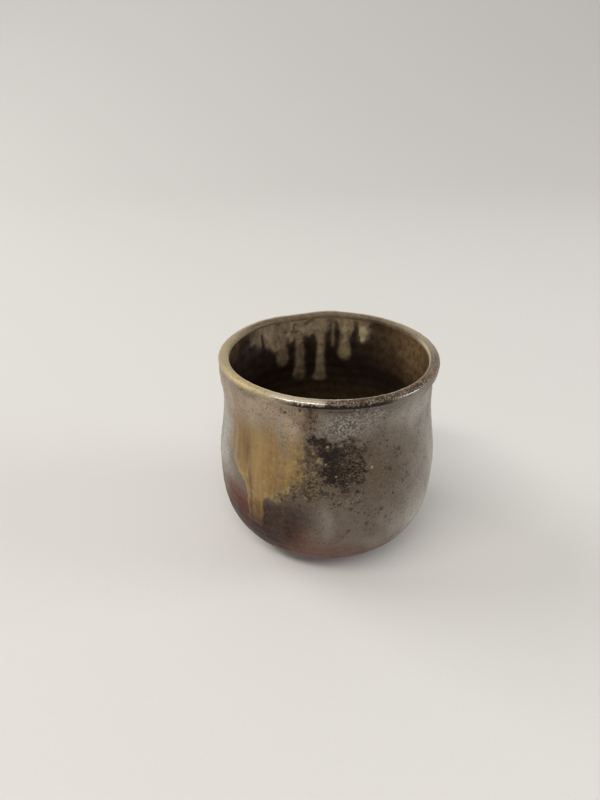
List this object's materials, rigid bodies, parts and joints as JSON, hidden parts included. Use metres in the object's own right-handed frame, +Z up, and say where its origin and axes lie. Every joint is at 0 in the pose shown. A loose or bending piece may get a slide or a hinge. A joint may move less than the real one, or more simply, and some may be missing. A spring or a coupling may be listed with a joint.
{
  "type": "handleless coffee cup",
  "caption": "Wood-fired stoneware cup without a handle, with a flared lip, a full belly, a turned foot ring, a dark glazed inside and an ash glaze that ran down one shoulder.",
  "frame": {"origin": "middle of the foot ring, on the table", "axes": "+Z up the cup's axis; -Y is the front, where the ash crust lies, with the ash curtain to its left"},
  "size_m": [0.0907, 0.0908, 0.085],
  "materials": {
    "stoneware": "satin grey-taupe, flashed reddish brown low down by the flame",
    "liner_glaze": "glossy brown-black glaze",
    "lip_glaze": "glossy melted ash, ochre to dark brown, with fine pinholes",
    "ash_glaze": "satin golden tan ash glaze, streaked down the fall line",
    "ash_crust": "rough half-melted dark ash with glints",
    "inner_ash": "satin olive tan ash runs"
  },
  "bodies": {
    "root": {"stoneware_body": "stoneware", "liner_glaze": "liner_glaze", "lip_glaze": "lip_glaze", "ash_curtain": "ash_glaze", "ash_crust": "ash_crust", "inner_ash_runs": "inner_ash"}
  },
  "joints": []
}
